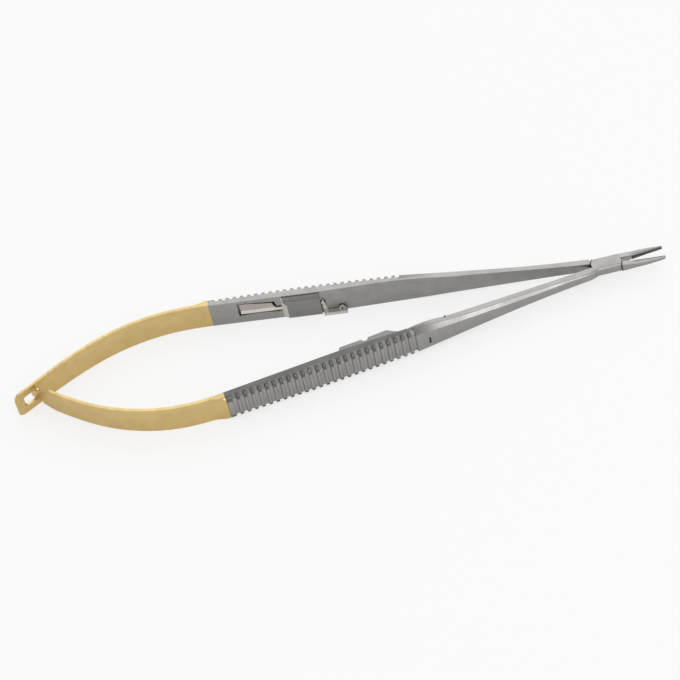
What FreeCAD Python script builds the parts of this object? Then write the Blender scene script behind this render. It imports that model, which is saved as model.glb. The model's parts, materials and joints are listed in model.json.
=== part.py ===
import FreeCAD, Part
import math
import os

os.makedirs("parts", exist_ok=True)

# Surgical needle holder of the spring-handle kind, in millimetres.
# It lies on the narrow edges of its arms: X runs from the tail to the jaw tips, Y is the way the
# arms spread, Z is up. Every shape is first made about the pivot at x = y = z = 0.
# The near arm has its handle at -Y and holds the box of the lock joint. The far arm has its handle
# at +Y and passes through the box, so its jaw is at -Y.

# Opening
JAW_HALF_ANGLE = 5.75        # each jaw turns this far from the shut line
ARM_SPREAD = 3.25            # the handles still stand apart by this much a side when the jaws meet
INNER_GAP = 0.125            # from the centre line to an arm's inner face, both arms shut

# Handles
HANDLE_HEIGHT = 8.0
HANDLE_START = 56.0
HANDLE_END = 109.0
GRIP_FULL = 66.0             # full height from here back
GRIP_FULL_GAP = 0.55
GRIP_FULL_THICK = 3.15
GRIP_FRONT = 77.0            # the handle is even in section from here
GRIP_REAR = 86.0             # to here
HANDLE_THICK = 3.62
HANDLE_END_THICK = 2.95
HANDLE_END_HEIGHT = 7.8
HANDLE_EDGE_RADIUS = 1.4
CORNER_FLATS = 4             # flats that make up a rounded outer corner
GROOVE_COUNT = 26
GROOVE_PITCH = 2.02
GROOVE_FIRST = 56.25
GROOVE_DEPTH = 0.52
GROOVE_WIDTH = 1.05

# Shanks, which bow outward between the lock joint and the grips:
# distance from the pivot, inner face to centre line, thickness, height, chamfer across, chamfer down
SHANK_FRONT = (0.0, INNER_GAP, 2.2, 2.7, 0.3, 0.3)
SHANK_NECK = (12.0, 0.25, 2.2, 3.1, 0.5, 0.5)
SHANK_MIDDLE = (26.0, 0.4, 2.42, 4.4, 0.88, 0.88)
SHANK_REAR = (40.0, 0.53, 2.74, 5.8, 0.95, 0.92)
SHANK_CHAMFER_END = (48.0, 0.68, 2.85, 6.95, 1.5, 1.0)
HANDLE_FRONT = (HANDLE_START, 0.82, 2.8, 7.8, 2.4, 0.8)
FAR_SHOULDER_RADIUS = 1.2    # outer corner of the far shank's front end
FAR_SHOULDER_GAP = 0.35      # from there to the box

# Lock joint
BOX_HALF_WIDTH = 2.2
BOX_HEIGHT = 2.7
BOX_EDGE_RADIUS = 0.75
BOX_STEP_RADIUS = 4.9        # front end of the box beside the far arm's jaw
BOX_REAR_RADIUS = 3.3
BOX_REAR_X = -5.2
STEP_GAP = 0.3               # from the box's front end to the jaw that passes it
PIN_RADIUS = 0.7
PIN_RUNNING = 0.04
SEAT_CLEARANCE = 0.01
BOSS_RADIUS = 1.25
TONGUE_HEIGHT = 1.0
TONGUE_SIDE = 0.1            # room beside the tongue in the box
TONGUE_FACE = 0.03           # room above and below it
TONGUE_REAR_ANGLE = 160.0
TONGUE_REAR_HALF = 0.75
TONGUE_FRONT_ANGLE = -14.25
TONGUE_FRONT_HALF = 0.65

# Jaws
JAW_LENGTH = 16.9
JAW_ROOT_X = 4.0
JAW_ROOT_THICK = 1.75
JAW_MIDDLE_X = 8.6
JAW_MIDDLE_THICK = 1.72
JAW_TIP_THICK = 0.62
JAW_ROOT_HEIGHT = 2.3
JAW_MIDDLE_HEIGHT = 1.4
JAW_TIP_HEIGHT = 0.85
JAW_RELIEF = 0.25            # steel stands back by this behind the inserts
JAW_TIP_RADIUS = 0.3
INSERT_START = 8.2
INSERT_THICK = 0.7
INSERT_TIP_THICK = 0.34
INSERT_GAP = 0.015           # from the shut line to an insert's face

# Leaf springs
LEAF_THICK = 1.05
LEAF_TAIL_THICK = 0.8
LEAF_WIDTH = 7.8
LEAF_TAIL_WIDTH = 7.3
LEAF_RAMP = 4.2              # the root thickens to the handle's thickness over this length
SLOTTED_BOW = ((-122.0, 18.5), (-136.0, 15.6), (-150.0, 8.7))
SLOTTED_TAIL = (-163.9, -0.45)
HOOKED_BOW = ((-122.0, 18.2), (-136.0, 14.0), (-148.0, 6.1))
CROSSING = (-158.3, 3.1)    # where the hooked leaf passes through the slotted one
TAB_CORNER = 1.8
SLOT_LENGTH = 4.5            # along X
SLOT_HEIGHT = 3.3
SLOT_REAR = 2.3              # from the tail's end to the slot, along X
SLOT_CORNER = 0.7
TONGUE_WIDTH = 2.5
SHOULDER_WIDTH = 5.0
SHOULDER_OFF = 1.3           # from the crossing to the shoulders, along X
SHOULDER_TAPER = 3.2
HEAD_WIDTH = 4.0
HEAD_OFF = 1.35
HEAD_LENGTH = 0.7

# Lock on the far handle's inner face
POCKET_FRONT = 89.7
POCKET_REAR = 101.1
POCKET_LOW = 2.5
POCKET_HIGH = 7.1
POCKET_FRONT_HIGH = 6.4      # the pocket is lower towards the plate
POCKET_SLANT = 1.0           # its front wall leans back by this
POCKET_LIP = 0.35            # its lower wall swells by this in the middle
POCKET_DEPTH = 1.3
CHANNEL_FRONT = 76.7
CHANNEL_LOW = 2.7
CHANNEL_HIGH = 4.75
CHANNEL_DEPTH = 0.8
BAR_THICK = 0.5
BAR_SUNK = 0.15              # under the handle's inner face
BAR_REAR = 100.1
BAR_PAD = 3.2
BAR_REAR_LOW = 2.95
BAR_REAR_HIGH = 6.35
BAR_STEP = 91.6              # the bar narrows here to pass under the plate
BAR_STEP_HIGH = 5.5
BAR_FRONT_LOW = 2.9
BAR_FRONT_HIGH = 3.9
PAWL_REAR = 77.5
PAWL_UPRIGHT = 1.35
PAWL_UPRIGHT_PROUD = 0.65
PAWL_FRONT = 71.0
PAWL_PROUD = 1.65
PAWL_GAP = 0.05
PAWL_LOW = 0.15
PAWL_HIGH = 1.15
PAWL_APEX = 5.2
PAWL_APEX_WIDTH = 0.4
EAR_AT = (72.4, 1.2)         # eye at the front of the pawl's foot
EAR_RADIUS = 0.95
EAR_THICK = 0.5
EYE_RADIUS = 0.3
PLATE_FRONT = 78.0
PLATE_REAR = 87.3
PLATE_LOW = 0.35
PLATE_HIGH = 5.0
PLATE_TOP = 7.6
PLATE_PROUD = 1.0
PLATE_FLANGE = 0.3           # thickness of its upper part
PLATE_RAMP = 1.6             # its rear end slopes down to the handle over this length

# Catch on the near handle's inner face
CATCH_REAR = 76.0
CATCH_FRONT = 59.2
CATCH_LOW = 0.5
CATCH_HIGH = 7.7
CATCH_SHELF = 1.3            # its working side stands past the centre line by this
CATCH_PEAK = 1.5
CATCH_PEAK_AT = 62.2
CATCH_NOSE = 0.7
NOTCH_AT = 68.55
NOTCH_RADIUS = 0.88
RIVET_RADIUS = 0.7
RIVET_DEPTH = 1.6
RIVETS_AT = (72.6, 64.9)
RIVET_LEVEL = 4.1

# Pad on the near shank's inner face and the tick on its outer face
PAD_REAR = 57.2
PAD_FRONT = 46.0
PAD_PROUD = 0.6
TICK_AT = 52.2
TICK_LOW = 2.5
TICK_LENGTH = 2.0
TICK_WIDTH = 0.5
TICK_DEPTH = 0.4

V = FreeCAD.Vector
UP = V(0, 0, 1)
ORIGIN = V(0, 0, 0)
MID = HANDLE_HEIGHT / 2
ARM_ANGLE = JAW_HALF_ANGLE + ARM_SPREAD
TALL = 2 * HANDLE_HEIGHT


def turned(shape, degrees):
    """A copy turned about the pivot, counter-clockwise seen from above."""
    out = shape.copy()
    out.rotate(ORIGIN, UP, degrees)
    return out


def mirrored(shape):
    """The same shape on the other side of the centre line."""
    return shape.mirror(ORIGIN, V(0, 1, 0))


def polygon(points):
    return Part.makePolygon([V(*p) for p in points] + [V(*points[0])])


def slab(edges, height):
    """A plan outline raised evenly about the middle plane."""
    face = Part.Face(Part.Wire(edges))
    face.translate(V(0, 0, -height / 2))
    return face.extrude(V(0, 0, height))


def line(a, b):
    return Part.LineSegment(V(*a), V(*b)).toShape()


def arc(a, middle, b):
    return Part.Arc(V(*a), V(*middle), V(*b)).toShape()


def side_prism(outline, y_low, y_high):
    """An outline of (x, z) points made into a block across Y."""
    face = Part.Face(polygon([(x, y_low, z) for x, z in outline]))
    return face.extrude(V(0, y_high - y_low, 0))


def rounded_side_prism(x0, x1, z0, z1, radius, y_low, y_high):
    """A block across Y with its four long edges rounded."""
    block = Part.makeBox(x1 - x0, y_high - y_low, z1 - z0, V(x0, y_low, z0))
    long_edges = [e for e in block.Edges if abs(e.tangentAt(e.FirstParameter).y) > 0.99]
    return block.makeFillet(radius, long_edges)


def arm_section(place, inner, thick, height, across, down, flats):
    """Flat inner face, top and bottom, and outer corners eased by one flat or rounded by several."""
    outer = inner + thick
    half = height / 2
    upper = []
    for i in range(flats + 1):
        turn = 0.5 * math.pi * i / flats
        upper.append((outer - across * (1 - math.cos(turn)), half - down * (1 - math.sin(turn))))
    upper.append((inner, half))
    points = upper + [(v, -z) for v, z in reversed(upper)]
    return polygon([(-place, v, z) for v, z in points])


def handle_stations():
    """Distance, inner face, thickness, height and corner across and down along the handle."""
    radius = HANDLE_EDGE_RADIUS
    return [HANDLE_FRONT,
            (GRIP_FULL, GRIP_FULL_GAP, GRIP_FULL_THICK, HANDLE_HEIGHT, radius, radius),
            (GRIP_FRONT, INNER_GAP, HANDLE_THICK, HANDLE_HEIGHT, radius, radius),
            (GRIP_REAR, INNER_GAP, HANDLE_THICK, HANDLE_HEIGHT, radius, radius),
            (HANDLE_END, INNER_GAP, HANDLE_END_THICK, HANDLE_END_HEIGHT, radius, radius)]


def arm_stations():
    return [SHANK_FRONT, SHANK_NECK, SHANK_MIDDLE, SHANK_REAR, SHANK_CHAMFER_END] + handle_stations()


def arm_at(place):
    """Inner face, thickness, height and corner of an arm at a distance from the pivot."""
    stations = arm_stations()
    for front, rear in zip(stations, stations[1:]):
        if place <= rear[0]:
            share = (place - front[0]) / (rear[0] - front[0])
            return [p + share * (q - p) for p, q in zip(front[1:], rear[1:])]
    return stations[-1][1:]


def handle():
    """Swelling front, even grip and tapering end of the handle."""
    stations = handle_stations()
    sections = [arm_section(*s, CORNER_FLATS) for s in stations]
    front = Part.makeLoft(sections[:3], True, True)
    grip = Part.Face(sections[2]).extrude(V(GRIP_FRONT - GRIP_REAR, 0, 0))
    rear = Part.makeLoft(sections[3:], True, True)
    return [front, grip, rear]


def groove(place):
    """One cross groove of the grip, as deep round the outer corners as on the outer face."""
    inner, thick, height, across, down = arm_at(place)
    outer = inner + thick
    half = height / 2
    corner = (across + down) * (1 - math.sqrt(0.5)) + GROOVE_DEPTH * math.sqrt(2)
    upper = [(outer - GROOVE_DEPTH, half - corner + GROOVE_DEPTH), (outer - corner - 1, half + 1),
             (outer + 1, half + 1)]
    outline = upper + [(v, -z) for v, z in reversed(upper)]
    front = GROOVE_WIDTH / 2 - place
    face = Part.Face(polygon([(front, v, z) for v, z in outline]))
    return face.extrude(V(-GROOVE_WIDTH, 0, 0))


def handle_and_shank():
    """One arm behind the lock joint, along -X with its outer side at +Y, ready to be turned out."""
    shank_stations = arm_stations()[:5]
    shank = Part.makeLoft([arm_section(*s, 1) for s in shank_stations], True, False)
    run_out = Part.makeLoft([arm_section(*s, 1) for s in (SHANK_CHAMFER_END, HANDLE_FRONT)], True, True)
    arm = shank.fuse([run_out] + handle()).removeSplitter()
    return arm.cut([groove(GROOVE_FIRST + i * GROOVE_PITCH) for i in range(GROOVE_COUNT)])


def arm_heights():
    """The arm's outline seen from the side, as (x, z) points about the middle plane."""
    upper = [(-s[0], s[3] / 2) for s in arm_stations()]
    return upper + [(x, -z) for x, z in reversed(upper)]


def jaw_profile():
    """Height of a jaw and its insert along X."""
    upper = [(JAW_ROOT_X - 1, JAW_ROOT_HEIGHT / 2), (JAW_ROOT_X + 1, JAW_ROOT_HEIGHT / 2),
             (JAW_MIDDLE_X, JAW_MIDDLE_HEIGHT / 2), (JAW_LENGTH, JAW_TIP_HEIGHT / 2)]
    return side_prism(upper + [(x, -z) for x, z in reversed(upper)], -5, 5)


def jaw():
    """Steel of the jaw on the +Y side, shut."""
    tip_outer = (JAW_LENGTH - JAW_TIP_RADIUS, JAW_TIP_THICK)
    corner = JAW_TIP_RADIUS * (1 - math.sqrt(0.5))
    edges = [line((JAW_ROOT_X, JAW_RELIEF), (INSERT_START, JAW_RELIEF)),
             line((INSERT_START, JAW_RELIEF), (INSERT_START, INSERT_THICK)),
             line((INSERT_START, INSERT_THICK), (JAW_LENGTH, INSERT_TIP_THICK)),
             arc((JAW_LENGTH, INSERT_TIP_THICK), (JAW_LENGTH - corner, JAW_TIP_THICK - corner), tip_outer),
             arc(tip_outer, (JAW_MIDDLE_X, JAW_MIDDLE_THICK), (JAW_ROOT_X, JAW_ROOT_THICK)),
             line((JAW_ROOT_X, JAW_ROOT_THICK), (JAW_ROOT_X, JAW_RELIEF))]
    return slab(edges, BOX_HEIGHT).common(jaw_profile())


def insert():
    """Carbide facing of the +Y jaw, shut."""
    points = [(INSERT_START, INSERT_GAP), (JAW_LENGTH, INSERT_GAP),
              (JAW_LENGTH, INSERT_TIP_THICK), (INSERT_START, INSERT_THICK)]
    edges = [line(a, b) for a, b in zip(points, points[1:] + points[:1])]
    return slab(edges, BOX_HEIGHT).common(jaw_profile())


def bar(angle, half_width, reach, height):
    """A flat bar from the pivot outward at an angle."""
    block = Part.makeBox(reach, 2 * half_width, height, V(0, -half_width, -height / 2))
    return turned(block, angle)


def disc(radius, height):
    return Part.makeCylinder(radius, height, V(0, 0, -height / 2))


def tongue():
    """The flat middle of the far arm that lies inside the box, open as at rest."""
    rear = bar(TONGUE_REAR_ANGLE, TONGUE_REAR_HALF, BOX_REAR_RADIUS + 2.6, TONGUE_HEIGHT)
    front = bar(TONGUE_FRONT_ANGLE, TONGUE_FRONT_HALF, BOX_STEP_RADIUS + 1.6, TONGUE_HEIGHT)
    return disc(BOSS_RADIUS, TONGUE_HEIGHT).fuse([rear, front])


def mortise():
    """Room in the box for the tongue at every opening."""
    height = TONGUE_HEIGHT + 2 * TONGUE_FACE
    reach = BOX_STEP_RADIUS + 2
    swing = 2 * JAW_HALF_ANGLE
    pieces = []
    for start, half in ((TONGUE_REAR_ANGLE, TONGUE_REAR_HALF), (TONGUE_FRONT_ANGLE, TONGUE_FRONT_HALF)):
        for angle in (start, start + swing):
            pieces.append(bar(angle, half + TONGUE_SIDE, reach, height))
        wedge = Part.makeCylinder(reach, height, V(0, 0, -height / 2), UP, swing)
        pieces.append(turned(wedge, start))
    return disc(BOSS_RADIUS + TONGUE_SIDE, height).fuse(pieces)


def box():
    """Housing of the lock joint, which belongs to the near arm, open as at rest."""
    side = BOX_HALF_WIDTH
    rear_x = -math.sqrt(BOX_REAR_RADIUS ** 2 - side ** 2)
    step_x = math.sqrt(BOX_STEP_RADIUS ** 2 - side ** 2)
    step_middle = math.radians(-10)
    step_angle = math.radians(JAW_HALF_ANGLE) + math.asin((JAW_RELIEF + 0.05) / BOX_STEP_RADIUS)
    step_start = (BOX_STEP_RADIUS * math.cos(step_angle), BOX_STEP_RADIUS * math.sin(step_angle))
    on_rear = math.radians(195)
    rear_start = (BOX_REAR_RADIUS * math.cos(on_rear), BOX_REAR_RADIUS * math.sin(on_rear))
    inner_slope = math.tan(math.radians(ARM_ANGLE))
    shank_inner = (BOX_REAR_X, BOX_REAR_X * inner_slope - INNER_GAP)
    outer_v = INNER_GAP + SHANK_FRONT[2]
    shank_outer = (BOX_REAR_X, BOX_REAR_X * inner_slope - outer_v / math.cos(math.radians(ARM_ANGLE)))
    shoulder = (-3.6, shank_outer[1] + 1.6 * inner_slope)
    neck = (-1.4, -side)
    swell = Part.BezierCurve()
    swell.setPoles([V(*shoulder), V(-2.6, shoulder[1] + 0.15), V(-2.4, -side), V(*neck)])
    edges = [line(shank_inner, rear_start),
             arc(rear_start, (-BOX_REAR_RADIUS, 0), (rear_x, side)),
             line((rear_x, side), (step_start[0], side)),
             line((step_start[0], side), step_start),
             arc(step_start,
                 (BOX_STEP_RADIUS * math.cos(step_middle), BOX_STEP_RADIUS * math.sin(step_middle)),
                 (step_x, -side)),
             line((step_x, -side), neck),
             swell.toShape(),
             line(shoulder, shank_outer),
             line(shank_outer, shank_inner)]
    block = slab(edges, BOX_HEIGHT)
    side_edges = [e for e in block.Edges if abs(e.tangentAt(e.FirstParameter).x) > 0.9
                  and max(v.Y for v in e.Vertexes) < 0.01 - side]
    return block.makeFillet(BOX_EDGE_RADIUS, side_edges)


def near_arm():
    """Female arm: serrated handle, shank, box and the far-side jaw."""
    rear = mirrored(handle_and_shank())
    rear = rear.fuse(mirrored(pad()))
    rear = turned(rear, ARM_ANGLE).cut(Part.makeBox(40, 40, TALL, V(-3.8, -20, -TALL / 2)))
    body = rear.fuse([box(), turned(jaw(), JAW_HALF_ANGLE)])
    body = body.cut([mortise(), disc(PIN_RADIUS + SEAT_CLEARANCE, TALL)])
    rivet_holes = [turned(mirrored(rivet(u, SEAT_CLEARANCE)), ARM_ANGLE) for u in RIVETS_AT]
    return body.cut(rivet_holes + [turned(mirrored(tick()), ARM_ANGLE)])


def far_arm():
    """Male arm: serrated handle with the lock's pocket, shank, tongue and the near-side jaw."""
    rear = handle_and_shank().cut([pocket(), channel(), far_shoulder()])
    rear = turned(rear, -ARM_ANGLE).cut(disc(BOX_REAR_RADIUS + FAR_SHOULDER_GAP, TALL))
    front = turned(mirrored(jaw()), -JAW_HALF_ANGLE).cut(disc(BOX_STEP_RADIUS + STEP_GAP, TALL))
    body = rear.fuse([front, tongue()])
    return body.cut(disc(PIN_RADIUS + PIN_RUNNING, TALL))


def far_shoulder():
    """What the rounding of the far shank's front end takes off its outer corner."""
    outer = INNER_GAP + SHANK_FRONT[2]
    radius = FAR_SHOULDER_RADIUS
    front = math.sqrt((BOX_REAR_RADIUS + FAR_SHOULDER_GAP) ** 2 - (outer - radius) ** 2)
    block = Part.makeBox(front + radius, radius + 1, TALL, V(-front - radius, outer - radius, -TALL / 2))
    round_end = disc(radius, TALL)
    round_end.translate(V(-front - radius, outer - radius, 0))
    return block.cut(round_end)


def pivot_pin():
    return Part.makeCylinder(PIN_RADIUS, BOX_HEIGHT, V(0, 0, -BOX_HEIGHT / 2))


def pad():
    """Low swelling of the shank's inner face."""
    rear = arm_at(PAD_REAR)[0]
    front = arm_at(PAD_FRONT)[0]
    middle = (PAD_REAR + PAD_FRONT) / 2
    peak = (rear + front) / 2 - PAD_PROUD
    ends = (-PAD_REAR, rear + 0.3), (-PAD_FRONT, front + 0.3)
    edges = [line(*ends), line(ends[1], (-PAD_FRONT, front)),
             arc((-PAD_FRONT, front), (-middle, peak), (-PAD_REAR, rear)),
             line((-PAD_REAR, rear), ends[0])]
    return slab(edges, TALL).common(side_prism(arm_heights(), -5, 5))


def tick():
    """Short upright mark on the outer face."""
    inner, thick = arm_at(TICK_AT)[:2]
    return Part.makeBox(TICK_WIDTH, 3, TICK_LENGTH,
                        V(-TICK_AT, inner + thick - TICK_DEPTH, TICK_LOW - MID))


def pocket():
    """Milled pocket of the far handle, in which the lock bar shows."""
    low = POCKET_LOW - MID
    swell = (-0.5 * (POCKET_FRONT + POCKET_REAR), low + POCKET_LIP)
    corners = [(-POCKET_REAR, low), (-POCKET_FRONT, low),
               (-POCKET_FRONT - POCKET_SLANT, POCKET_FRONT_HIGH - MID), (-POCKET_REAR, POCKET_HIGH - MID)]
    face_y = INNER_GAP - 2
    at = lambda p: (p[0], face_y, p[1])
    edges = [arc(at(corners[0]), at(swell), at(corners[1]))]
    edges += [line(at(p), at(q)) for p, q in zip(corners[1:], corners[2:] + corners[:1])]
    return Part.Face(Part.Wire(edges)).extrude(V(0, 2 + POCKET_DEPTH, 0))


def channel():
    """Shallow way for the lock bar under its plate."""
    return Part.makeBox(POCKET_FRONT + POCKET_SLANT - CHANNEL_FRONT, 2 + CHANNEL_DEPTH,
                        CHANNEL_HIGH - CHANNEL_LOW,
                        V(-POCKET_FRONT - POCKET_SLANT, INNER_GAP - 2, CHANNEL_LOW - MID))


def lock_bar():
    """Spring bar with the pawl and its eye at the free end."""
    face = INNER_GAP + BAR_SUNK
    low = lambda z: z - MID
    tip = PAWL_APEX_WIDTH - PAWL_REAR
    outline = [(-BAR_REAR, low(BAR_REAR_LOW)), (tip, low(BAR_FRONT_LOW)),
               (tip, low(BAR_FRONT_HIGH)), (1 - BAR_STEP, low(BAR_FRONT_HIGH)),
               (-BAR_STEP, low(BAR_STEP_HIGH)), (-BAR_REAR, low(BAR_REAR_HIGH))]
    blade = side_prism(outline, face, face + BAR_THICK)
    seat = Part.makeBox(BAR_PAD, POCKET_DEPTH - BAR_SUNK, BAR_REAR_HIGH - BAR_REAR_LOW - 0.4,
                        V(-BAR_REAR, face, low(BAR_REAR_LOW + 0.2)))
    near = INNER_GAP - PAWL_GAP
    upright = side_prism([(-PAWL_REAR, low(PAWL_LOW)), (PAWL_UPRIGHT - PAWL_REAR, low(PAWL_LOW)),
                          (tip, low(PAWL_APEX)), (-PAWL_REAR, low(PAWL_APEX))],
                         INNER_GAP - PAWL_UPRIGHT_PROUD, near)
    foot = Part.makeBox(PAWL_REAR - PAWL_FRONT, PAWL_PROUD - PAWL_GAP, PAWL_HIGH - PAWL_LOW,
                        V(-PAWL_REAR, INNER_GAP - PAWL_PROUD, low(PAWL_LOW)))
    neck = Part.makeBox(PAWL_APEX_WIDTH, face + BAR_THICK - near + 0.2, BAR_FRONT_HIGH - BAR_FRONT_LOW,
                        V(-PAWL_REAR, near - 0.2, low(BAR_FRONT_LOW)))
    bar_solid = blade.fuse([seat, upright, foot, neck, ear_disc(EAR_RADIUS)]).removeSplitter()
    return turned(bar_solid.cut(ear_disc(EYE_RADIUS)), -ARM_ANGLE)


def ear_disc(radius):
    """A disc across the ear of the pawl's foot."""
    place, level = EAR_AT
    return Part.makeCylinder(radius, EAR_THICK, V(-place, INNER_GAP - PAWL_GAP - EAR_THICK, level - MID),
                             V(0, 1, 0))


def lock_plate():
    """Cover plate that holds the lock bar in its channel: thick below, thin above, sloped behind."""
    out = INNER_GAP - PLATE_PROUD
    flange = INNER_GAP - PLATE_FLANGE
    section = [(INNER_GAP, PLATE_LOW), (out, PLATE_LOW), (out, PLATE_HIGH),
               (flange, PLATE_HIGH + PLATE_PROUD - PLATE_FLANGE), (flange, PLATE_TOP), (INNER_GAP, PLATE_TOP)]
    face = Part.Face(polygon([(-PLATE_FRONT, v, z - MID) for v, z in section]))
    bar_cover = face.extrude(V(PLATE_FRONT - PLATE_REAR - PLATE_RAMP, 0, 0))
    slope = slab([line((-PLATE_REAR - PLATE_RAMP, INNER_GAP), (-PLATE_REAR, out)),
                  line((-PLATE_REAR, out), (-PLATE_FRONT, out)),
                  line((-PLATE_FRONT, out), (-PLATE_FRONT, INNER_GAP)),
                  line((-PLATE_FRONT, INNER_GAP), (-PLATE_REAR - PLATE_RAMP, INNER_GAP))], TALL)
    return turned(bar_cover.common(slope), -ARM_ANGLE)


def rivet(place, extra=0.0):
    """A rivet through the catch plate into the handle."""
    depth = arm_at(place)[0] + RIVET_DEPTH
    return Part.makeCylinder(RIVET_RADIUS + extra, CATCH_PEAK + depth + extra,
                             V(-place, -CATCH_PEAK, RIVET_LEVEL - MID), V(0, 1, 0))


def catch_outline():
    """The catch plate seen from above, with the rounded notch for the pawl, on the handle's face."""
    rear_face = arm_at(CATCH_REAR)[0]
    front_face = arm_at(CATCH_FRONT)[0]
    bend = (-GRIP_FULL, GRIP_FULL_GAP)
    top = -CATCH_SHELF
    nose = CATCH_NOSE * math.sqrt(0.5)
    notch_rear = -NOTCH_AT - NOTCH_RADIUS
    notch_front = -NOTCH_AT + NOTCH_RADIUS
    return [line((-CATCH_REAR, rear_face), (-CATCH_REAR, top + CATCH_NOSE)),
            arc((-CATCH_REAR, top + CATCH_NOSE),
                (-CATCH_REAR + CATCH_NOSE - nose, top + CATCH_NOSE - nose),
                (-CATCH_REAR + CATCH_NOSE, top)),
            line((-CATCH_REAR + CATCH_NOSE, top), (notch_rear, top)),
            arc((notch_rear, top), (-NOTCH_AT, top + NOTCH_RADIUS), (notch_front, top)),
            line((notch_front, top), (-CATCH_PEAK_AT, -CATCH_PEAK)),
            line((-CATCH_PEAK_AT, -CATCH_PEAK), (-CATCH_FRONT, front_face)),
            line((-CATCH_FRONT, front_face), bend),
            line(bend, (-CATCH_REAR, rear_face))]


def catch_blank():
    low = CATCH_LOW - MID
    face = Part.Face(Part.Wire(catch_outline()))
    face.translate(V(0, 0, low))
    return face.extrude(V(0, 0, CATCH_HIGH - CATCH_LOW))


def catch_plate():
    plate = catch_blank().cut([rivet(u, SEAT_CLEARANCE) for u in RIVETS_AT])
    return turned(mirrored(plate), ARM_ANGLE)


def catch_rivets():
    """Both rivets, dressed flush with the plate."""
    room = catch_blank().fuse(Part.makeBox(40, 10, TALL, V(-90, 0, -TALL / 2)))
    rivets = [turned(mirrored(rivet(u).common(room)), ARM_ANGLE) for u in RIVETS_AT]
    return Part.makeCompound(rivets)


def leaf_curve(bow, end, extension):
    """Middle line of a leaf on the +Y side, from the handle's end face to the tail."""
    middle = turned(Part.Vertex(V(-HANDLE_END, INNER_GAP + LEAF_THICK / 2, 0)), -ARM_ANGLE).Point
    angle = math.radians(ARM_ANGLE)
    points = [middle] + [V(x, y, 0) for x, y in bow] + [V(*end, 0)]
    curve = Part.BSplineCurve()
    run = points[-1] - points[-2]
    curve.interpolate(Points=points + [points[-1] + run * (extension / run.Length)] if extension else points,
                      InitialTangent=V(-math.cos(angle), math.sin(angle), 0) * 20,
                      FinalTangent=run)
    return curve


def leaf_strip(curve):
    """The leaf's plan, thinning towards the tail, with its root ramped out to the handle."""
    steps = 8
    sides = ([], [])
    for i in range(steps + 1):
        share = i / steps
        at = curve.FirstParameter + share * (curve.LastParameter - curve.FirstParameter)
        point = curve.value(at)
        along = curve.tangent(at)[0]
        across = V(along.y, -along.x, 0)
        half = (LEAF_THICK + share * (LEAF_TAIL_THICK - LEAF_THICK)) / 2
        sides[0].append(point + across * half)
        sides[1].append(point - across * half)
    outlines = []
    for side in sides:
        spline = Part.BSplineCurve()
        spline.interpolate(Points=side)
        outlines.append(spline.toShape())
    ends = [Part.LineSegment(sides[0][-1], sides[1][-1]).toShape(),
            Part.LineSegment(sides[1][0], sides[0][0]).toShape()]
    strip = slab([outlines[0], ends[0], outlines[1], ends[1]], LEAF_WIDTH)
    foot = INNER_GAP + LEAF_THICK / 2
    top = INNER_GAP + HANDLE_END_THICK
    ramp_end = (-HANDLE_END - LEAF_RAMP, INNER_GAP + 0.93 * LEAF_THICK)
    ramp_edges = [line((-HANDLE_END, foot), (-HANDLE_END, top)),
                  arc((-HANDLE_END, top), (-HANDLE_END - 0.42 * LEAF_RAMP, INNER_GAP + 0.62 * HANDLE_END_THICK),
                      ramp_end),
                  line(ramp_end, (-HANDLE_END - LEAF_RAMP, foot)),
                  line((-HANDLE_END - LEAF_RAMP, foot), (-HANDLE_END, foot))]
    end_section = Part.Face(arm_section(*handle_stations()[-1], CORNER_FLATS))
    ramp = slab(ramp_edges, LEAF_WIDTH).common(end_section.extrude(V(-2 * LEAF_RAMP, 0, 0)))
    ramp = turned(ramp, -ARM_ANGLE)
    return strip.fuse(ramp)


def leaf_width_outline(tail_x):
    """Side outline of a leaf, narrowing to the tail."""
    start = -HANDLE_END + 3
    upper = [(start, LEAF_WIDTH / 2), (-HANDLE_END - 20, LEAF_WIDTH / 2), (tail_x, LEAF_TAIL_WIDTH / 2)]
    return side_prism(upper + [(x, -z) for x, z in reversed(upper)], -60, 60)


def slotted_leaf():
    """Leaf of the far arm: its tail is a tab with a slot."""
    strip = leaf_strip(leaf_curve(SLOTTED_BOW, SLOTTED_TAIL, 0))
    tail_x = SLOTTED_TAIL[0]
    shaped = strip.common(leaf_width_outline(tail_x - 1))
    half = LEAF_TAIL_WIDTH / 2
    tab = rounded_side_prism(tail_x, tail_x + 30, -half, half, TAB_CORNER, -60, 60)
    rest = Part.makeBox(80, 120, TALL, V(tail_x + 10, -60, -TALL / 2))
    slot = rounded_side_prism(tail_x + SLOT_REAR, tail_x + SLOT_REAR + SLOT_LENGTH,
                              -SLOT_HEIGHT / 2, SLOT_HEIGHT / 2, SLOT_CORNER, -20, 20)
    return shaped.common(tab.fuse(rest)).cut(slot)


def hooked_leaf():
    """Leaf of the near arm: its tail narrows to a tongue with a cross head."""
    crossing_x, crossing_y = CROSSING
    tail_x = crossing_x - HEAD_OFF - HEAD_LENGTH
    strip = leaf_strip(leaf_curve(HOOKED_BOW, (crossing_x, -crossing_y), 1.6 * (crossing_x - tail_x)))
    neck_x = crossing_x + SHOULDER_OFF
    upper = [(-HANDLE_END + 3, LEAF_WIDTH / 2), (-HANDLE_END - 20, LEAF_WIDTH / 2),
             (neck_x + SHOULDER_TAPER, LEAF_TAIL_WIDTH / 2), (neck_x, SHOULDER_WIDTH / 2),
             (neck_x, TONGUE_WIDTH / 2), (crossing_x - HEAD_OFF, TONGUE_WIDTH / 2),
             (crossing_x - HEAD_OFF, HEAD_WIDTH / 2), (tail_x, HEAD_WIDTH / 2)]
    outline = side_prism(upper + [(x, -z) for x, z in reversed(upper)], -60, 60)
    return mirrored(strip.common(outline))


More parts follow.
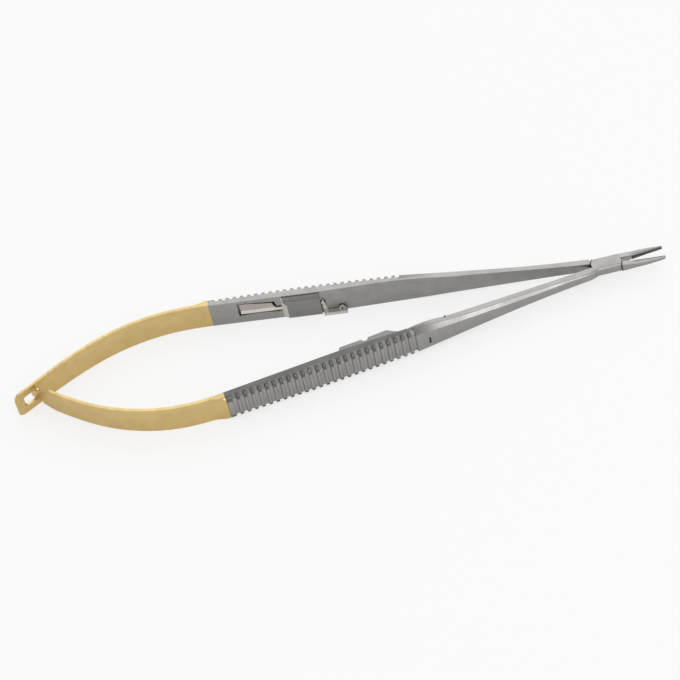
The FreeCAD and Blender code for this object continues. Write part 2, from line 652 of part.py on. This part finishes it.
def build():
    return {
        "near_arm": near_arm(),
        "far_arm": far_arm(),
        "pivot_pin": pivot_pin(),
        "near_arm_insert": turned(insert(), JAW_HALF_ANGLE),
        "far_arm_insert": turned(mirrored(insert()), -JAW_HALF_ANGLE),
        "slotted_leaf": slotted_leaf(),
        "hooked_leaf": hooked_leaf(),
        "lock_bar": lock_bar(),
        "lock_plate": lock_plate(),
        "catch_plate": catch_plate(),
        "catch_rivets": catch_rivets(),
    }


nodes = build()
whole = Part.makeCompound(list(nodes.values())).optimalBoundingBox(False)
base = V(-whole.Center.x, -whole.Center.y, -whole.ZMin)
print("pivot stands at", [round(c, 4) for c in base])
print("overall size", round(whole.XLength, 3), round(whole.YLength, 3), round(whole.ZLength, 3))
for name, shape in nodes.items():
    shape.translate(base)
    solids = shape.Solids
    print(name, "solids", len(solids), "valid", shape.isValid(), "volume", round(shape.Volume, 2))
    shape.exportStep(os.path.join("parts", name + ".step"))
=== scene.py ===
import json
import math

import bmesh
import bpy
from mathutils import Matrix, Vector


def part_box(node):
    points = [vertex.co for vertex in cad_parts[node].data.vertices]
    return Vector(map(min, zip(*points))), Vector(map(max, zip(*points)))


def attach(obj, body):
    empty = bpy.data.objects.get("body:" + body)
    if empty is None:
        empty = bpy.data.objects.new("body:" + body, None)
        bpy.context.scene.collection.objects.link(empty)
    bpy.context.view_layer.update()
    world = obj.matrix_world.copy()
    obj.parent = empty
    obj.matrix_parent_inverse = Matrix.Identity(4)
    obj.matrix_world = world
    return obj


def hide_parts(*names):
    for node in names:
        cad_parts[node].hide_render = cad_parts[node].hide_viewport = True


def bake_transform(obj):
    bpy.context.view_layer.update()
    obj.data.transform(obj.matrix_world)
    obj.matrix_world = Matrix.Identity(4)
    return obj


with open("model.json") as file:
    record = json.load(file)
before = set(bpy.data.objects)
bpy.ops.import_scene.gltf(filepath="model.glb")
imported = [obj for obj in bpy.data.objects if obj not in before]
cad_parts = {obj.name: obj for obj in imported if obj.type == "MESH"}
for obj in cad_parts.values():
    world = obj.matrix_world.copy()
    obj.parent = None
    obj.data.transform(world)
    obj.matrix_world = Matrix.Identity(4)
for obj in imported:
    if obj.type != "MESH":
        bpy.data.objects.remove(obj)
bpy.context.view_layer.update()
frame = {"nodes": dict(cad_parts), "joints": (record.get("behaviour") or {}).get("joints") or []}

# Surgical needle holder on a white floor. Lengths are in metres. The near handle's darker top, corners
# and groove ends are painted shade and its sides painted light; the lock bar's blade has painted shade
# above and a painted highlight below; the lock plate's ramp has a painted highlight; the slit walls,
# slit sheets and tongue are painted shade; the tick mark is painted on as a dark mark. All these stay
# the same under other light.
MM = 0.001

# Camera: place from the pivot, then how far it is turned to the right, tipped down and rolled
CAMERA_OFFSET = Vector((-0.0750693, -0.409772, 0.394490))
CAMERA_YAW = 0.0019
CAMERA_PITCH = 0.7714
CAMERA_ROLL = -0.2325
CAMERA_LENS = 110.84
SENSOR = 36.0

# CAD meshes: points closer than this are one, faces flatter than this are one, and how near a cut
# through a mesh passes to a point before it runs through it
WELD = 2e-6
FLAT_WITHIN = math.radians(0.6)
CUT_WITHIN = 1e-6

# Finish of the edges: roundings, and the angles above or below which an edge counts
EDGE_ROUND = 0.07 * MM
CHAMFER_ROUND = 0.22 * MM
SHARP_ABOVE = math.radians(40)
SMOOTH_BELOW = math.radians(30)
CHAMFER_TURNS = (math.radians(12), math.radians(80))
CHAMFER_LENGTH = 1.0 * MM

# Arms: their handles stand apart by this much a side when the jaws meet
ARM_SPREAD = math.radians(3.25)
SHANK_REACH = (3.0 * MM, 57.0 * MM)

# Tick mark on the near arm: along the arm and up
TICK_REACH = (51.6 * MM, 52.3 * MM)
TICK_LEVELS = (2.4 * MM, 4.6 * MM)

# Pad: from and to along the arm, what counts as its inner side and its upper edge, and how far
# that edge is eased
PAD_REACH = (45.8 * MM, 57.4 * MM)
PAD_FACE = 0.78 * MM
PAD_LEVEL = 6.5 * MM
PAD_EASE = 0.42 * MM

# Near handle's grip, whose top, corners and groove ends carry painted shade and whose sides carry
# painted light: where its steel begins and where these painted tones fade in, counted back from the
# pivot, what share of the steel's tone its parts keep, and its ribs and grooves
GRIP_FRONT = 42.0 * MM
GRIP_PAINT_FADE = (48.0 * MM, 60.0 * MM)
GRIP_TOP_SHADE = 0.42
GRIP_CORNER_SHADE = 0.42
GRIP_SIDE_LIGHT = 1.05
RIB_HALF_HEIGHT = 2.75 * MM
RIB_FRONT = 55.6 * MM
RIB_ROUND = 0.26 * MM
RIB_OUTER = 1.5 * MM
RIB_WALL = 0.95
GROOVE_FIRST = 56.25 * MM
GROOVE_PITCH = 2.02 * MM
GROOVE_HALF = 0.56 * MM
GROOVE_END_SHADE = 0.45

# Lock bar: where its blade shows, the level where the blade's painted shade above meets its painted
# highlight below, how far it is raised and moved back, and where its tail begins
BAR_SEEN = 89.0 * MM
BAR_SPLIT = 4.2 * MM
BAR_RAISE = 0.35 * MM
BAR_TAIL = 99.0 * MM

# Inserts, shut: distances from the pivot along the jaw and across it, then the face's pattern
INSERT_START = 8.2 * MM
INSERT_MIDDLE = 8.6 * MM
INSERT_END = 16.9 * MM
INSERT_FACE = 0.015 * MM
INSERT_BACK = (0.7 * MM, 0.34 * MM)
INSERT_HALF_HEIGHT = (0.715 * MM, 0.7 * MM, 0.425 * MM)
INSERT_SEAM = 0.2 * MM
INSERT_CUTS = (87, 12)
PYRAMID_PITCH = 0.7 * MM
PYRAMID_DEPTH = 0.16 * MM

# Slits of the lock joint, with dark sheets of painted shade below them: inner and outer radius, first
# and last angle of what shows below them
SLITS = ((3.33 * MM, 3.75 * MM, 133.0, 170.0), (4.93 * MM, 5.3 * MM, -27.0, -7.5))
SLIT_DEPTH = (-0.9 * MM, 1.0 * MM)
SLIT_CUTS = 12

# Lock joint's gap, whose walls and tongue get painted shade: radii of its walls, how near and how
# squarely a face must lie to one, and the reach and half height of the tongue's level faces
LOCK_RADII = tuple(r * MM for r in (3.3, 3.65, 4.9, 5.2))
LOCK_WALL_WITHIN = 0.05 * MM
LOCK_WALL_FACING = 0.93
TONGUE_REACH = 5.15 * MM
TONGUE_LEVEL = 0.6 * MM

# How far a face points up or back to count as level, as part of a rounded corner or as a ramp
SLOPED = 0.3
LEVEL = 0.95
GROOVE_LEVEL = 0.9
BLADE_FACING = 0.8

# Leaves
LEAF_CUTS = 70
HEAD_FRONT = -159.62 * MM    # the hook's head lies behind this, from the pivot
HEAD_SHARE = 0.8
TONGUE_FRONT = -156.9 * MM
TONGUE_HALF = 1.3 * MM
TONGUE_SHARE = 1.25
HOOK_KEPT = -158.9 * MM
HOOK_SHARE = 0.55

# Metal: stretch of the grain's lines, size of the blotches, how far roughness swings, and the bump
GRAIN_STRETCH = (120, 5200, 5200)
BLOTCH_SCALE = 260.0
ROUGHNESS_SWING = 0.05
BUMP_STRENGTH = 0.25
BUMP_DISTANCE = 0.01 * MM

# Floor: size, colour, and how much of it glows for the camera and for reflections
FLOOR_SIZE = 6
FLOOR_PAPER = (0.96, 0.96, 0.96, 1)
FLOOR_SEEN = 0.7
FLOOR_MIRRORED = 0.1

# Light: the world's strength at its left and right, then each lamp's place, width, height, strength
WORLD_STRENGTH = (0.55, 0.9)
BACK_LAMP = ((0.15, 1.0, 0.8), 1.5, 0.8, 0.7)
FRONT_LAMP = ((0.3, -0.55, 0.88), 0.36, 0.8, 2.0)


def joint_named(name):
    return next(j for j in frame["joints"] if j["name"] == name)


BOX_LOCK = joint_named("box_lock")
PIVOT = Vector(BOX_LOCK["pos_m"])
HALF_OPENING = math.radians(BOX_LOCK["range_deg"][1]) / 2
ARM_TURN = HALF_OPENING + ARM_SPREAD
SIDE = {"near_arm": -1, "far_arm": 1}


def on_arm(point, arm):
    """A point as seen from an open arm: back from the pivot, outward, up."""
    x, y, z = point - Vector((PIVOT.x, PIVOT.y, 0))
    side = SIDE[arm]
    return Vector((side * y * math.sin(ARM_TURN) - x * math.cos(ARM_TURN),
                   side * y * math.cos(ARM_TURN) + x * math.sin(ARM_TURN), z))


def new_object(name, mesh):
    piece = bpy.data.objects.new(name, mesh)
    bpy.context.scene.collection.objects.link(piece)
    return piece


def shade(bm):
    """Soft shading over shallow angles, crisp edges elsewhere."""
    for face in bm.faces:
        face.smooth = True
    for edge in bm.edges:
        edge.smooth = len(edge.link_faces) == 2 and edge.calc_face_angle(0) < SMOOTH_BELOW


def clean_copy(node):
    """The CAD node's mesh with its flat faces whole."""
    bm = bmesh.new()
    bm.from_mesh(frame["nodes"][node].data)
    bmesh.ops.remove_doubles(bm, verts=bm.verts, dist=WELD)
    bmesh.ops.dissolve_limit(bm, angle_limit=FLAT_WITHIN, verts=bm.verts, edges=bm.edges)
    return bm


def bevel(bm, edges, width, segments, clamp=True):
    bmesh.ops.bevel(bm, geom=edges, offset=width, offset_type="OFFSET", segments=segments, profile=0.5,
                    affect="EDGES", clamp_overlap=clamp, harden_normals=False)


def round_edges(bm, width):
    sharp = [e for e in bm.edges if len(e.link_faces) == 2 and e.calc_face_angle(0) > SHARP_ABOVE]
    bevel(bm, sharp, width, 2)


def round_chamfers(bm, arm):
    """The long edges of the shank's chamfers are softer than the rest."""
    soft = []
    for edge in bm.edges:
        ends = [on_arm(v.co, arm) for v in edge.verts]
        along = abs(ends[0].x - ends[1].x)
        on_shank = all(SHANK_REACH[0] < p.x < SHANK_REACH[1] for p in ends)
        if on_shank and along > CHAMFER_LENGTH and len(edge.link_faces) == 2:
            if CHAMFER_TURNS[0] < edge.calc_face_angle(0) < CHAMFER_TURNS[1]:
                soft.append(edge)
    bevel(bm, soft, CHAMFER_ROUND, 4)


def round_ribs(bm, arm):
    """The outer edges of the ridges between the grip's grooves."""
    ridges = []
    for edge in bm.edges:
        if len(edge.link_faces) != 2 or edge.calc_face_angle_signed(0) < SHARP_ABOVE:
            continue
        if all(on_arm(v.co, arm).x > RIB_FRONT for v in edge.verts):
            walls = [abs(normal_on_arm(f, arm).x) > RIB_WALL for f in edge.link_faces]
            if walls[0] != walls[1] and min(on_arm(v.co, arm).y for v in edge.verts) > RIB_OUTER:
                ridges.append(edge)
    bevel(bm, ridges, RIB_ROUND, 3, clamp=False)


def ease_pad(bm):
    """Eased upper inner edge of the near arm's pad."""
    rim = []
    for edge in bm.edges:
        ends = [on_arm(v.co, "near_arm") for v in edge.verts]
        if all(PAD_REACH[0] < p.x < PAD_REACH[1] and p.y < PAD_FACE and p.z > PAD_LEVEL for p in ends):
            if len(edge.link_faces) == 2 and edge.calc_face_angle(0) > SHARP_ABOVE:
                rim.append(edge)
    bevel(bm, rim, PAD_EASE, 2, clamp=False)


def normal_on_arm(face, arm):
    """A face's direction as seen from an open arm: back, outward, up."""
    return on_arm(face.normal + Vector((PIVOT.x, PIVOT.y, 0)), arm)


def even_normals(piece):
    """Large faces keep their own shading beside rounded edges."""
    weighting = piece.modifiers.new("even_normals", "WEIGHTED_NORMAL")
    weighting.keep_sharp = True
    weighting.weight = 100


def paint(bm, mesh, places):
    """Give the faces that pass a test another material. Places are pairs of material and test."""
    for material, test in places:
        mesh.materials.append(material)
        index = len(mesh.materials) - 1
        for face in bm.faces:
            if test(face):
                face.material_index = index


def fill_pocket(bm):
    """The bar's blade reaches nearer to the pocket's rim."""
    back = Vector((-math.cos(ARM_TURN), math.sin(ARM_TURN), 0))
    for vert in bm.verts:
        place = on_arm(vert.co, "far_arm")
        if place.x > BAR_SEEN and place.z > BAR_SPLIT:
            vert.co.z += BAR_RAISE
        if place.x > BAR_TAIL:
            vert.co += BAR_RAISE * back


def dressed(node, body, material, width=EDGE_ROUND, places=(), level_cut=None):
    """A copy of a CAD node with broken edges, which stands for it."""
    bm = clean_copy(node)
    if node == "lock_bar":
        fill_pocket(bm)
    if level_cut:
        geometry = bm.verts[:] + bm.edges[:] + bm.faces[:]
        bmesh.ops.bisect_plane(bm, geom=geometry, dist=CUT_WITHIN, plane_co=(0, 0, level_cut),
                               plane_no=(0, 0, 1))
    if node in SIDE:
        round_chamfers(bm, node)
        round_ribs(bm, node)
    if node == "near_arm":
        ease_pad(bm)
    round_edges(bm, width)
    bm.normal_update()
    shade(bm)
    mesh = bpy.data.meshes.new(node + "_dressed")
    mesh.materials.append(material)
    paint(bm, mesh, places)
    bm.to_mesh(mesh)
    bm.free()
    piece = new_object(node + "_dressed", mesh)
    even_normals(piece)
    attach(piece, body)
    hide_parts(node)
    return piece


def node_tree(name):
    material = bpy.data.materials.new(name)
    material.use_nodes = True
    return material, material.node_tree


def metal(name, colour, roughness, grain_turn=0.0, spread=0.06, grain=0.5, fade=None):
    """Satin metal: fine grain lines, soft blotches in tone and roughness.

    A fade paints light or shade: where it starts and ends along the grain and what share of the tone is
    left there.
    """
    material, tree = node_tree(name)
    nodes = tree.nodes
    links = tree.links
    shader = nodes["Principled BSDF"]
    shader.inputs["Metallic"].default_value = 1.0
    place = nodes.new("ShaderNodeTexCoord")
    turn = nodes.new("ShaderNodeMapping")
    turn.inputs["Rotation"].default_value = (0, 0, grain_turn)
    links.new(place.outputs["Object"], turn.inputs["Vector"])
    stretch = nodes.new("ShaderNodeMapping")
    stretch.inputs["Scale"].default_value = GRAIN_STRETCH
    links.new(turn.outputs["Vector"], stretch.inputs["Vector"])
    lines = nodes.new("ShaderNodeTexNoise")
    lines.inputs["Scale"].default_value = 1.0
    lines.inputs["Detail"].default_value = 4.0
    links.new(stretch.outputs["Vector"], lines.inputs["Vector"])
    blotch = nodes.new("ShaderNodeTexNoise")
    blotch.inputs["Scale"].default_value = BLOTCH_SCALE
    blotch.inputs["Detail"].default_value = 5.0
    links.new(turn.outputs["Vector"], blotch.inputs["Vector"])
    both = nodes.new("ShaderNodeMath")
    both.operation = "MULTIPLY_ADD"
    both.inputs[1].default_value = grain
    links.new(lines.outputs["Fac"], both.inputs[0])
    links.new(blotch.outputs["Fac"], both.inputs[2])
    tone = nodes.new("ShaderNodeMapRange")
    tone.inputs["From Min"].default_value = 0.35 + 0.35 * grain
    tone.inputs["From Max"].default_value = 0.65 + 0.65 * grain
    links.new(both.outputs[0], tone.inputs["Value"])
    ramp = nodes.new("ShaderNodeValToRGB")
    dark = [c * (1 - spread) for c in colour]
    light = [min(1.0, c * (1 + spread)) for c in colour]
    ramp.color_ramp.elements[0].color = (*dark, 1)
    ramp.color_ramp.elements[1].color = (*light, 1)
    links.new(tone.outputs["Result"], ramp.inputs["Fac"])
    if fade:
        along = nodes.new("ShaderNodeSeparateXYZ")
        links.new(turn.outputs["Vector"], along.inputs["Vector"])
        share = nodes.new("ShaderNodeMapRange")
        share.interpolation_type = "SMOOTHSTEP"
        share.inputs["From Min"].default_value = fade[0]
        share.inputs["From Max"].default_value = fade[1]
        share.inputs["To Min"].default_value = 1.0
        share.inputs["To Max"].default_value = fade[2]
        links.new(along.outputs["X"], share.inputs["Value"])
        faded = nodes.new("ShaderNodeVectorMath")
        faded.operation = "SCALE"
        links.new(ramp.outputs["Color"], faded.inputs[0])
        links.new(share.outputs["Result"], faded.inputs["Scale"])
        links.new(faded.outputs["Vector"], shader.inputs["Base Color"])
    else:
        links.new(ramp.outputs["Color"], shader.inputs["Base Color"])
    rough = nodes.new("ShaderNodeMapRange")
    rough.inputs["To Min"].default_value = roughness + ROUGHNESS_SWING
    rough.inputs["To Max"].default_value = roughness - ROUGHNESS_SWING
    links.new(tone.outputs["Result"], rough.inputs["Value"])
    links.new(rough.outputs["Result"], shader.inputs["Roughness"])
    bump = nodes.new("ShaderNodeBump")
    bump.inputs["Strength"].default_value = BUMP_STRENGTH
    bump.inputs["Distance"].default_value = BUMP_DISTANCE
    links.new(lines.outputs["Fac"], bump.inputs["Height"])
    links.new(bump.outputs["Normal"], shader.inputs["Normal"])
    return material


def fit_hook(bm):
    """The tongue fills the slot's height, and its head ends close behind the tab."""
    for vert in bm.verts:
        back = vert.co.x - PIVOT.x
        rise = vert.co.z - PIVOT.z
        if back < HEAD_FRONT:
            vert.co.z = PIVOT.z + HEAD_SHARE * rise
        elif back < TONGUE_FRONT and abs(rise) < TONGUE_HALF:
            vert.co.z = PIVOT.z + TONGUE_SHARE * rise
        if back < HOOK_KEPT:
            vert.co.x += (1 - HOOK_SHARE) * (HOOK_KEPT - back)


def leaf(node, material):
    """A leaf spring, from its seam on the handle to its free tail, cut crosswise into slices and with
    broken edges.
    """
    bm = clean_copy(node)
    low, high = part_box(node)
    for i in range(1, LEAF_CUTS):
        x = low.x + (high.x - low.x) * i / LEAF_CUTS
        geometry = bm.verts[:] + bm.edges[:] + bm.faces[:]
        bmesh.ops.bisect_plane(bm, geom=geometry, dist=CUT_WITHIN, plane_co=(x, 0, 0), plane_no=(1, 0, 0))
    if node == "hooked_leaf":
        fit_hook(bm)
    round_edges(bm, EDGE_ROUND)
    shade(bm)
    mesh = bpy.data.meshes.new(node + "_dressed")
    bm.to_mesh(mesh)
    bm.free()
    piece = new_object(node + "_dressed", mesh)
    piece.data.materials.append(material)
    even_normals(piece)
    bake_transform(piece)
    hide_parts(node)
    return piece


def between(value, stops, values):
    """Straight-line value between stops."""
    for low, high, a, b in zip(stops, stops[1:], values, values[1:]):
        if value <= high:
            return a + (b - a) * (value - low) / (high - low)
    return values[-1]


def ridge(distance):
    """0 at the middle of a cut, 1 at a crest."""
    return abs(2 * (distance / PYRAMID_PITCH % 1) - 1)


def facing(node, side):
    """A jaw's insert: face cut crosswise into small pyramids, sides, and a dark seam to the steel."""
    turn = Matrix.Rotation(side * HALF_OPENING, 4, "Z")
    bm = bmesh.new()
    along, up = INSERT_CUTS
    layers = []
    for layer in range(3):
        grid = []
        for i in range(along + 1):
            x = INSERT_START + (INSERT_END - INSERT_START) * i / along
            half = between(x, (INSERT_START, INSERT_MIDDLE, INSERT_END), INSERT_HALF_HEIGHT)
            back = between(x, (INSERT_START, INSERT_END), INSERT_BACK)
            row = []
            for j in range(up + 1):
                z = half * (2 * j / up - 1)
                cut = PYRAMID_DEPTH * (1 - min(ridge(x + z), ridge(x - z)))
                v = (INSERT_FACE + cut, back - INSERT_SEAM, back)[layer]
                row.append(bm.verts.new(PIVOT + turn @ Vector((x, side * v, z))))
            grid.append(row)
        layers.append(grid)
    for grid in (layers[0], layers[2]):
        for i in range(along):
            for j in range(up):
                bm.faces.new((grid[i][j], grid[i + 1][j], grid[i + 1][j + 1], grid[i][j + 1]))
    cut_faces = along * up
    for band, (near, far) in enumerate(zip(layers, layers[1:])):
        sides = [((i, j), (i + 1, j)) for i in range(along) for j in (0, up)]
        sides += [((i, j), (i, j + 1)) for j in range(up) for i in (0, along)]
        for (a, b), (c, d) in sides:
            bm.faces.new((near[a][b], near[c][d], far[c][d], far[a][b])).material_index = 1 + band
    bm.faces.ensure_lookup_table()
    for face in bm.faces[:cut_faces]:
        face.material_index = 0
    bmesh.ops.delete(bm, geom=[v for v in bm.verts if not v.link_faces], context="VERTS")
    bmesh.ops.recalc_face_normals(bm, faces=bm.faces)
    mesh = bpy.data.meshes.new(node + "_dressed")
    for material in (carbide, carbide_side, shade_and_dark_marks):
        mesh.materials.append(material)
    bm.to_mesh(mesh)
    bm.free()
    piece = new_object(node + "_dressed", mesh)
    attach(piece, "near_arm" if side > 0 else "far_arm")
    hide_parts(node)


def slit_shade_sheet(name, inner, outer, first, last):
    """A dark sheet of painted shade inside a slit of the lock joint, carried by the far arm."""
    bm = bmesh.new()
    rings = []
    for i in range(SLIT_CUTS + 1):
        angle = math.radians(first + (last - first) * i / SLIT_CUTS)
        low, high = SLIT_DEPTH
        corners = ((inner, low), (outer, low), (outer, high), (inner, high))
        rings.append([bm.verts.new(PIVOT + Vector((r * math.cos(angle), r * math.sin(angle), z)))
                      for r, z in corners])
    for one, other in zip(rings, rings[1:]):
        for k in range(4):
            bm.faces.new((one[k], one[(k + 1) % 4], other[(k + 1) % 4], other[k]))
    bm.faces.new(rings[0])
    bm.faces.new(rings[-1])
    bmesh.ops.recalc_face_normals(bm, faces=bm.faces)
    mesh = bpy.data.meshes.new(name)
    mesh.materials.append(shade_and_dark_marks)
    bm.to_mesh(mesh)
    bm.free()
    piece = new_object(name, mesh)
    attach(piece, "far_arm")


def floor():
    """White floor that keeps a faint shadow."""
    bpy.ops.mesh.primitive_plane_add(size=FLOOR_SIZE, location=(0, 0, 0))
    piece = bpy.context.object
    piece.name = "floor"
    material, tree = node_tree("white_floor")
    nodes = tree.nodes
    links = tree.links
    nodes.remove(nodes["Principled BSDF"])
    paper = nodes.new("ShaderNodeBsdfDiffuse")
    paper.inputs["Color"].default_value = FLOOR_PAPER
    glow = nodes.new("ShaderNodeEmission")
    glow.inputs["Color"].default_value = (1, 1, 1, 1)
    glow.inputs["Strength"].default_value = 1.0
    path = nodes.new("ShaderNodeLightPath")
    seen = nodes.new("ShaderNodeMath")
    seen.operation = "MULTIPLY"
    seen.inputs[1].default_value = FLOOR_SEEN
    links.new(path.outputs["Is Camera Ray"], seen.inputs[0])
    mirrored = nodes.new("ShaderNodeMath")
    mirrored.operation = "MULTIPLY_ADD"
    mirrored.inputs[1].default_value = FLOOR_MIRRORED
    links.new(path.outputs["Is Glossy Ray"], mirrored.inputs[0])
    links.new(seen.outputs[0], mirrored.inputs[2])
    mix = nodes.new("ShaderNodeMixShader")
    links.new(mirrored.outputs[0], mix.inputs["Fac"])
    links.new(paper.outputs["BSDF"], mix.inputs[1])
    links.new(glow.outputs["Emission"], mix.inputs[2])
    links.new(mix.outputs["Shader"], nodes["Material Output"].inputs["Surface"])
    piece.data.materials.append(material)


def lamp(name, place, width, height, strength):
    """A soft lamp aimed at the object. Strength is the brightness of its face."""
    data = bpy.data.lights.new(name, "AREA")
    data.shape = "RECTANGLE"
    data.size = width
    data.size_y = height
    data.energy = strength * math.pi * width * height
    piece = bpy.data.objects.new(name, data)
    bpy.context.scene.collection.objects.link(piece)
    piece.location = place
    piece.rotation_euler = (-Vector(place)).to_track_quat("-Z", "Y").to_euler()


def studio():
    world = bpy.data.worlds.new("studio")
    bpy.context.scene.world = world
    world.use_nodes = True
    nodes = world.node_tree.nodes
    links = world.node_tree.links
    backdrop = nodes["Background"]
    backdrop.inputs["Color"].default_value = (1, 1, 1, 1)
    place = nodes.new("ShaderNodeTexCoord")
    axes = nodes.new("ShaderNodeSeparateXYZ")
    links.new(place.outputs["Generated"], axes.inputs["Vector"])
    across = nodes.new("ShaderNodeMapRange")
    across.inputs["From Min"].default_value = -1.0
    across.inputs["From Max"].default_value = 1.0
    across.inputs["To Min"].default_value = WORLD_STRENGTH[0]
    across.inputs["To Max"].default_value = WORLD_STRENGTH[1]
    links.new(axes.outputs["X"], across.inputs["Value"])
    links.new(across.outputs["Result"], backdrop.inputs["Strength"])
    lamp("back_lamp", *BACK_LAMP)
    lamp("front_lamp", *FRONT_LAMP)
    bpy.context.scene.view_settings.view_transform = "Standard"


def camera():
    data = bpy.data.cameras.new("camera")
    data.sensor_width = SENSOR
    data.lens = CAMERA_LENS
    piece = bpy.data.objects.new("camera", data)
    bpy.context.scene.collection.objects.link(piece)
    turn = (Matrix.Rotation(-CAMERA_YAW, 4, "Z") @ Matrix.Rotation(math.pi / 2 - CAMERA_PITCH, 4, "X")
            @ Matrix.Rotation(CAMERA_ROLL, 4, "Z"))
    piece.matrix_world = Matrix.Translation(PIVOT + CAMERA_OFFSET) @ turn
    bpy.context.scene.camera = piece


camera()
floor()
studio()

STEEL = (0.365, 0.36, 0.348)
near_steel = metal("near_arm_steel", STEEL, 0.3, grain_turn=-ARM_TURN)
far_steel = metal("far_arm_steel", STEEL, 0.3, grain_turn=ARM_TURN)
# Painted shade on the near grip's top, corners and groove ends and painted light on its sides, fading in
# towards the tail
pivot_along = PIVOT.x * math.cos(ARM_TURN)
paint_fade_places = [pivot_along - place for place in GRIP_PAINT_FADE]
grip_top_painted_shade = metal("grip_top_painted_shade", STEEL, 0.36, grain_turn=-ARM_TURN,
                       fade=(*paint_fade_places, GRIP_TOP_SHADE))
grip_corner_painted_shade = metal("grip_corner_painted_shade", STEEL, 0.36, grain_turn=-ARM_TURN,
                          fade=(*paint_fade_places, GRIP_CORNER_SHADE))
groove_end_painted_shade = metal("groove_end_painted_shade", STEEL, 0.36, grain_turn=-ARM_TURN,
                         fade=(*paint_fade_places, GROOVE_END_SHADE))
grip_side_painted_light = metal("grip_side_painted_light", STEEL, 0.34, grain_turn=-ARM_TURN, fade=(*paint_fade_places, GRIP_SIDE_LIGHT))
# The lock bar's steel, also used as a painted highlight on the lock plate's ramp
lock_steel = metal("lock_steel", (0.62, 0.61, 0.58), 0.3, grain_turn=ARM_TURN)
bar_upper_painted_shade = metal("bar_upper_painted_shade", (0.5, 0.46, 0.41), 0.32, grain_turn=ARM_TURN)
bar_lower_painted_highlight = metal("bar_lower_painted_highlight", (0.85, 0.82, 0.76), 0.3, grain_turn=ARM_TURN)
plate_steel = metal("plate_steel", (0.28, 0.276, 0.262), 0.36, grain_turn=ARM_TURN)
catch_steel = metal("catch_steel", (0.26, 0.256, 0.248), 0.34, grain_turn=-ARM_TURN)
# Near black: painted shade in the lock gap and slits, and the tick mark and the inserts' seams as dark
# marks
shade_and_dark_marks = metal("painted_shade_and_dark_marks_steel", (0.07, 0.07, 0.07), 0.5)
gold = metal("gold_plating", (0.71, 0.54, 0.245), 0.34, spread=0.05, grain=0.25)
carbide = metal("carbide", (0.16, 0.155, 0.145), 0.4, spread=0.1, grain=0.1)
carbide_side = metal("carbide_side", (0.4, 0.39, 0.37), 0.36, spread=0.06, grain=0.1)


def in_tick(face):
    for vert in face.verts:
        place = on_arm(vert.co, "near_arm")
        if not (TICK_REACH[0] < place.x < TICK_REACH[1] and TICK_LEVELS[0] < place.z < TICK_LEVELS[1]):
            return False
    return True


def at_lock_gap(face):
    """Walls of the slits between the box and the arm that passes through it, and the tongue, which get
    painted shade.
    """
    middle = face.calc_center_median() - PIVOT
    reach = math.hypot(middle.x, middle.y)
    if abs(face.normal.z) > SLOPED:
        return reach < TONGUE_REACH and abs(middle.z) < TONGUE_LEVEL
    facing_out = abs(middle.x * face.normal.x + middle.y * face.normal.y) > LOCK_WALL_FACING * reach
    return facing_out and any(abs(reach - radius) < LOCK_WALL_WITHIN for radius in LOCK_RADII)


def on_ramp(face):
    """The lock plate's sloped rear end, which gets a painted highlight."""
    return normal_on_arm(face, "far_arm").x > SLOPED


# The near grip, whose sides get painted light
def on_grip(face):
    return on_arm(face.calc_center_median(), "near_arm").x > GRIP_FRONT


def on_grip_top(face):
    """Top, bottom and rounded corners of the near handle, with what the grooves cut into them; they get
    painted shade.
    """
    off_middle = abs(face.calc_center_median().z - PIVOT.z)
    return on_grip(face) and (abs(face.normal.z) > SLOPED or off_middle > RIB_HALF_HEIGHT)


# The near grip's rounded corners, which get painted shade
def on_grip_corner(face):
    return on_grip(face) and SLOPED < abs(face.normal.z) < LEVEL


def in_groove_end(face):
    """Where the grooves run out into the near handle's rounded corners, which get painted shade."""
    place = on_arm(face.calc_center_median(), "near_arm").x - GROOVE_FIRST
    from_groove = abs((place / GROOVE_PITCH + 0.5) % 1 - 0.5) * GROOVE_PITCH
    off_middle = abs(face.calc_center_median().z - PIVOT.z)
    return place > -GROOVE_HALF and from_groove < GROOVE_HALF and off_middle > RIB_HALF_HEIGHT and (
        abs(face.normal.z) < GROOVE_LEVEL)


def on_blade(face):
    """The bar's flat side that shows in the pocket, painted with shade above and a highlight below."""
    return on_arm(face.calc_center_median(), "far_arm").x > BAR_SEEN and abs(face.normal.y) > BLADE_FACING


# The blade's lower part, which gets a painted highlight
def on_lower_blade(face):
    return on_blade(face) and face.calc_center_median().z < BAR_SPLIT


# The near arm's grip gets painted shade on its top, corners and groove ends and painted light on its
# sides; its lock gap gets painted shade and its tick a dark mark
dressed("near_arm", "near_arm", near_steel,
        places=[(grip_side_painted_light, on_grip), (grip_top_painted_shade, on_grip_top), (grip_corner_painted_shade, on_grip_corner),
                (groove_end_painted_shade, in_groove_end), (shade_and_dark_marks, at_lock_gap),
                (shade_and_dark_marks, in_tick)])
# The far arm's lock gap gets painted shade
dressed("far_arm", "far_arm", far_steel, places=[(shade_and_dark_marks, at_lock_gap)])
# The lock bar's blade gets painted shade above and a painted highlight below
dressed("lock_bar", "lock_bar", lock_steel, level_cut=BAR_SPLIT,
        places=[(bar_upper_painted_shade, on_blade), (bar_lower_painted_highlight, on_lower_blade)])
# The lock plate's sloped rear end gets the lock bar's lighter steel as a painted highlight
dressed("lock_plate", "far_arm", plate_steel, places=[(lock_steel, on_ramp)])
dressed("catch_plate", "near_arm", catch_steel)
leaf("slotted_leaf", gold)
leaf("hooked_leaf", gold)
facing("near_arm_insert", 1)
facing("far_arm_insert", -1)
# Dark sheets of painted shade inside the slits
for count, slit in enumerate(SLITS):
    slit_shade_sheet("slit_floor_%d" % (count + 1), *slit)
for name in ("pivot_pin", "catch_rivets"):
    frame["nodes"][name].data.materials.clear()
    frame["nodes"][name].data.materials.append(near_steel)
